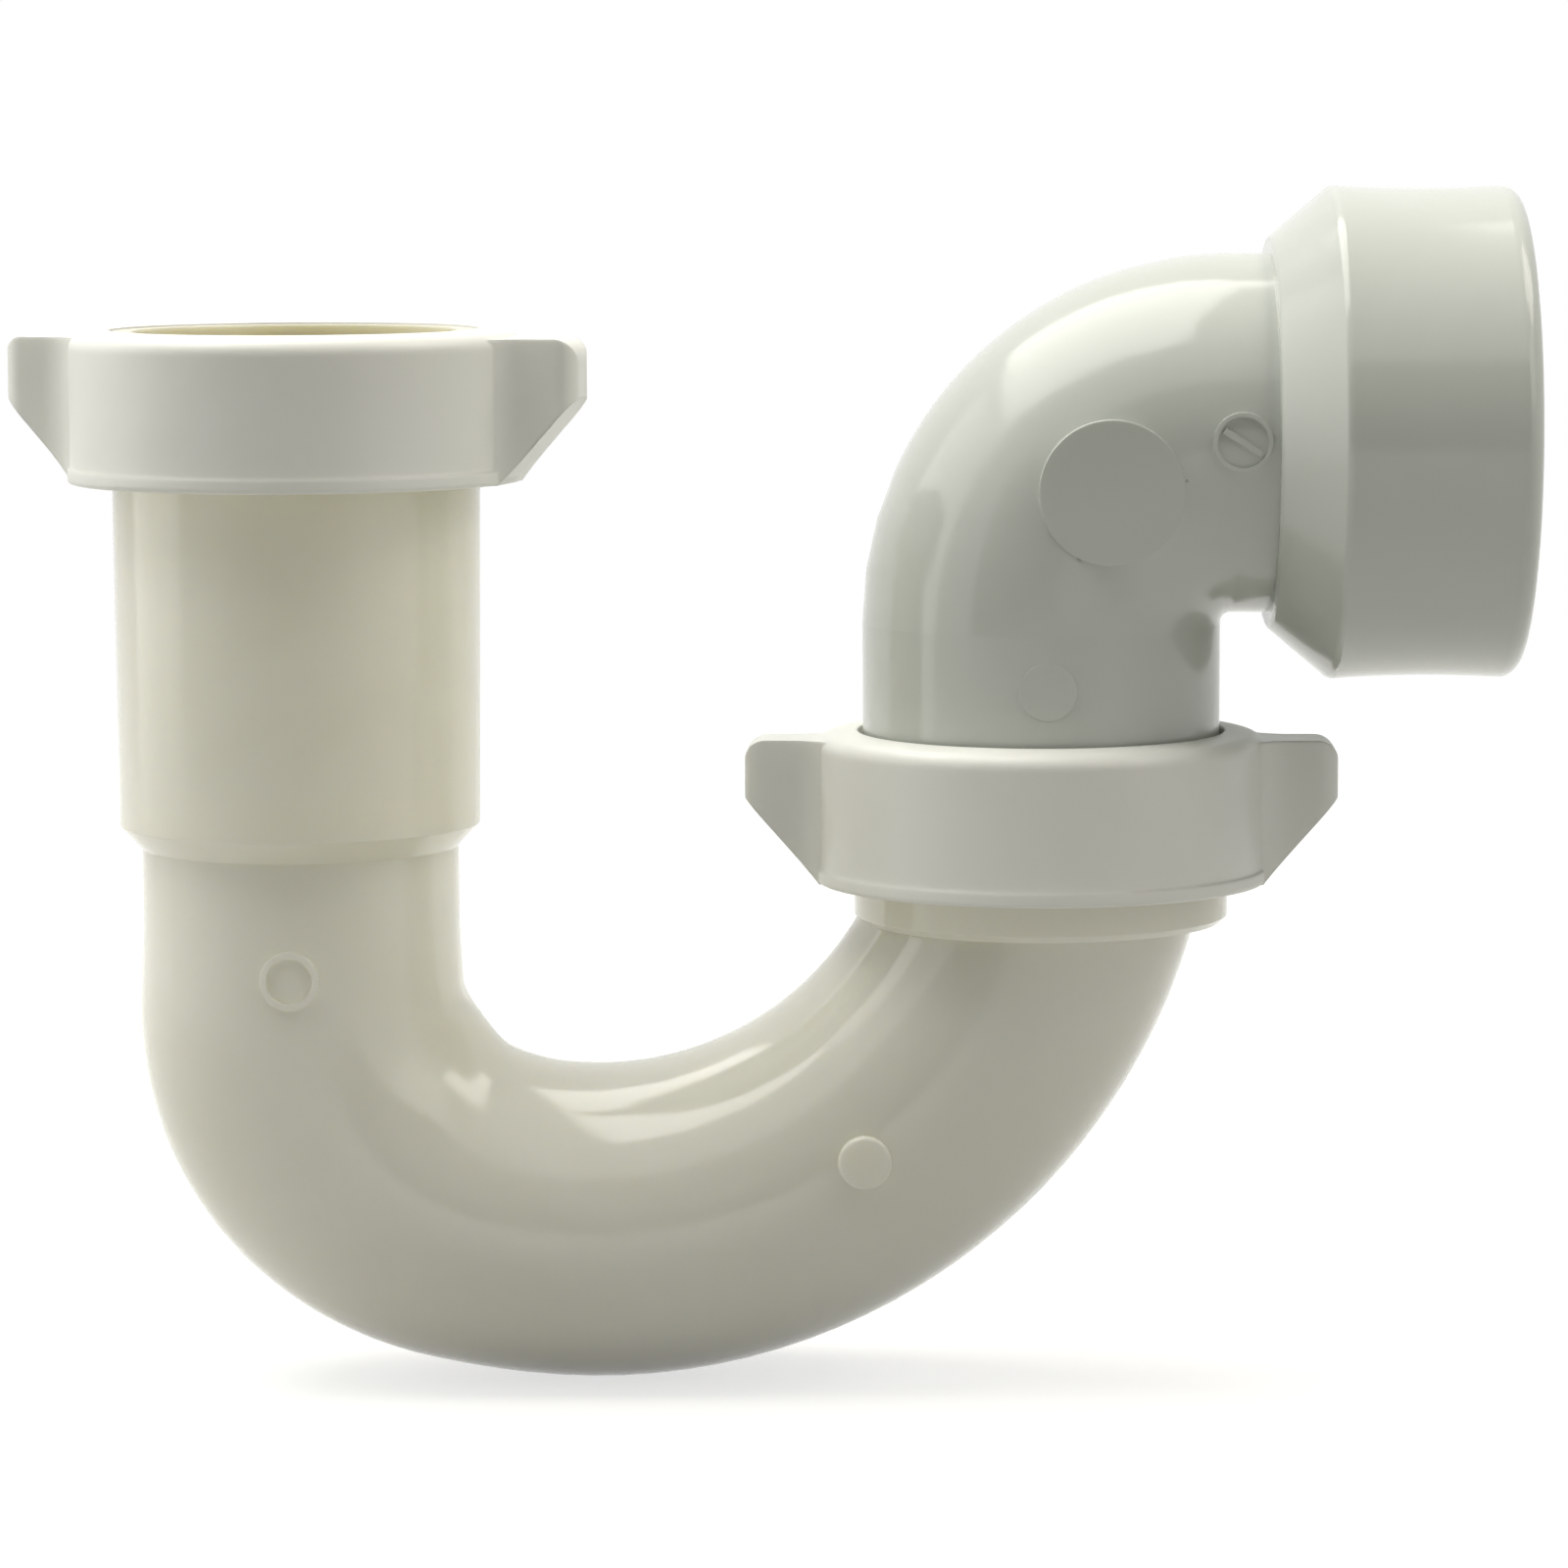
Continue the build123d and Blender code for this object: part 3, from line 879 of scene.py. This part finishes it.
LAMPS = (
    Softbox("overhead", (-0.27, 0.1, 0.86), width=1.0, height=0.8, power=10.5, colour=(1.0, 0.985, 0.93)),
    Softbox("left", (-1.1, 0.1, 0.3), width=1.0, height=1.2, power=5.4, colour=(1.0, 0.99, 0.94)),
    Softbox("right", (0.75, -0.05, 0.85), width=0.6, height=0.6, power=5.0, colour=(1.0, 0.96, 0.87)),
    Softbox("fill", (0.9, -0.7, 0.5), width=0.6, height=0.6, power=1.2, colour=(1.0, 0.97, 0.9)),
)


@dataclass(frozen=True)
class Viewpoint:
    """Where the camera stands, in metres and degrees, with its focal length in pixels of the image."""

    aim: Triple = (0.058337, 0.0, -0.050305)
    azimuth: float = -0.155
    elevation: float = 6.482
    roll: float = -0.219
    distance: float = 0.704505
    focal: float = 5960.71
    clip_start: float = 0.01
    clip_end: float = 50.0

    def build(self) -> bpy.types.Object:
        """Sets the scene's camera.

        Returns:
            The camera.
        """
        around, above, tilt = [math.radians(angle) for angle in (self.azimuth, self.elevation, self.roll)]
        forward = Vector((
            math.sin(around) * math.cos(above), math.cos(around) * math.cos(above), -math.sin(above),
        ))
        level = Vector((math.cos(around), -math.sin(around), 0.0))
        upright = level.cross(forward)
        right = level * math.cos(tilt) + upright * math.sin(tilt)
        up = upright * math.cos(tilt) - level * math.sin(tilt)
        data = bpy.data.cameras.new("camera")
        data.sensor_fit = "HORIZONTAL"
        data.sensor_width = SENSOR_WIDTH
        data.lens = SENSOR_WIDTH * self.focal / IMAGE_WIDTH
        data.clip_start = self.clip_start
        data.clip_end = self.clip_end
        camera = bpy.data.objects.new("camera", data)
        turn = Matrix((right, up, -forward)).transposed().to_4x4()
        camera.matrix_world = Matrix.Translation(Vector(self.aim) - forward * self.distance) @ turn
        bpy.context.scene.collection.objects.link(camera)
        bpy.context.scene.camera = camera
        return camera


@dataclass
class Studio:
    """White floor, white surround, soft lamps and a dark card on the camera's side."""

    floor_reach: float = 1.2
    floor_fade: float = 0.35
    floor_colour: Colour = (0.42, 0.42, 0.41, 1.0)
    floor_lift: float = 0.68
    floor_roughness: tuple[float, float] = (0.7, 0.85)
    fibre_density: float = 900.0
    fibre_detail: float = 3.0
    fibre_range: tuple[float, float] = (0.3, 0.7)
    room_colour: Colour = (0.98, 1.0, 0.95, 1.0)
    room_light: float = 0.16
    card_left: float = -1.3
    card_right: float = 0.9
    card_depth: float = -1.25
    card_top: float = 0.9
    card_colour: Colour = (0.05, 0.05, 0.05, 1.0)

    def build(self) -> None:
        """Puts up the floor, the card, the surround, the lamps and the camera."""
        self._floor()
        self._card()
        self._surround()
        for lamp in LAMPS:
            log.info("lamp %s", lamp.build().name)
        Viewpoint().build()
        bpy.context.scene.view_settings.view_transform = "Standard"

    def _sheet(self, name: str, corners: list[Triple], material: bpy.types.Material) -> bpy.types.Object:
        """Makes a flat stage piece.

        Args:
            name: Its name.
            corners: Its corners, in order.
            material: Its material.

        Returns:
            The piece.
        """
        mesh = bpy.data.meshes.new(name)
        mesh.from_pydata(corners, [], [tuple(range(len(corners)))])
        mesh.materials.append(material)
        piece = bpy.data.objects.new(name, mesh)
        bpy.context.scene.collection.objects.link(piece)
        return piece

    def _floor(self) -> None:
        """Lays a pale floor that is white to the camera and keeps the trap's shadow."""
        made = bpy.data.materials.new("floor paper")
        made.use_nodes = True
        tree = made.node_tree
        shader = tree.nodes["Principled BSDF"]
        place = add_node(tree, "ShaderNodeTexCoord", {}).outputs["Object"]
        fibres = add_node(tree, "ShaderNodeTexNoise", {
            "Vector": place, "Scale": self.fibre_density, "Detail": self.fibre_detail,
        })
        rough = ramp(tree, fibres.outputs["Fac"], *self.fibre_range, *self.floor_roughness)
        tree.links.new(rough, shader.inputs["Roughness"])
        shader.inputs["Base Color"].default_value = self.floor_colour
        shader.inputs["Emission Color"].default_value = WHITE
        lift = math_node(tree, "MULTIPLY", self._seen(tree), self.floor_lift)
        tree.links.new(lift, shader.inputs["Emission Strength"])
        away = add_node(tree, "ShaderNodeVectorMath", {0: place}, operation="LENGTH").outputs["Value"]
        fade = ramp(tree, away, self.floor_fade, self.floor_reach, 1.0, 0.0)
        tree.links.new(fade, shader.inputs["Alpha"])
        low, reach = CAD_BOX[0][2], self.floor_reach
        signs = ((-1.0, -1.0), (1.0, -1.0), (1.0, 1.0), (-1.0, 1.0))
        self._sheet("floor", [(across * reach, deep * reach, low) for across, deep in signs], made)

    def _card(self) -> None:
        """Stands a dark card behind the camera, which only shows as a dark band in glossy fronts."""
        made = bpy.data.materials.new("dark card")
        made.use_nodes = True
        made.node_tree.nodes["Principled BSDF"].inputs["Base Color"].default_value = self.card_colour
        low, top = CAD_BOX[0][2], self.card_top
        left, right = self.card_left, self.card_right
        rim = ((right, low), (left, low), (left, top), (right, top))
        card = self._sheet("dark_card", [(across, self.card_depth, up) for across, up in rim], made)
        card.visible_camera = False

    def _seen(self, tree: bpy.types.NodeTree) -> Socket:
        """Finds the rays that show a surface itself or its mirror image.

        Args:
            tree: The tree that gets the nodes.

        Returns:
            1 for camera, glossy and transmission rays, 0 for others.
        """
        path = add_node(tree, "ShaderNodeLightPath", {}).outputs
        seen = math_node(tree, "MAXIMUM", path["Is Camera Ray"], path["Is Glossy Ray"])
        return math_node(tree, "MAXIMUM", seen, path["Is Transmission Ray"])

    def _surround(self) -> None:
        """Fills the room with soft light, white where it is seen."""
        world = bpy.data.worlds.new("white room")
        bpy.context.scene.world = world
        world.use_nodes = True
        tree = world.node_tree
        shown = tree.nodes["Background"].inputs
        seen = self._seen(tree)
        tree.links.new(ramp(tree, seen, 0.0, 1.0, self.room_light, 1.0), shown["Strength"])
        tree.links.new(mixed(tree, seen, self.room_colour, WHITE), shown["Color"])


def main() -> None:
    """Dresses the trap, then puts up the studio."""
    logging.basicConfig(level=logging.INFO, format="%(name)s: %(message)s")
    Trap().dress(MouldEffects())
    Studio().build()


if __name__ == "__main__":
    main()
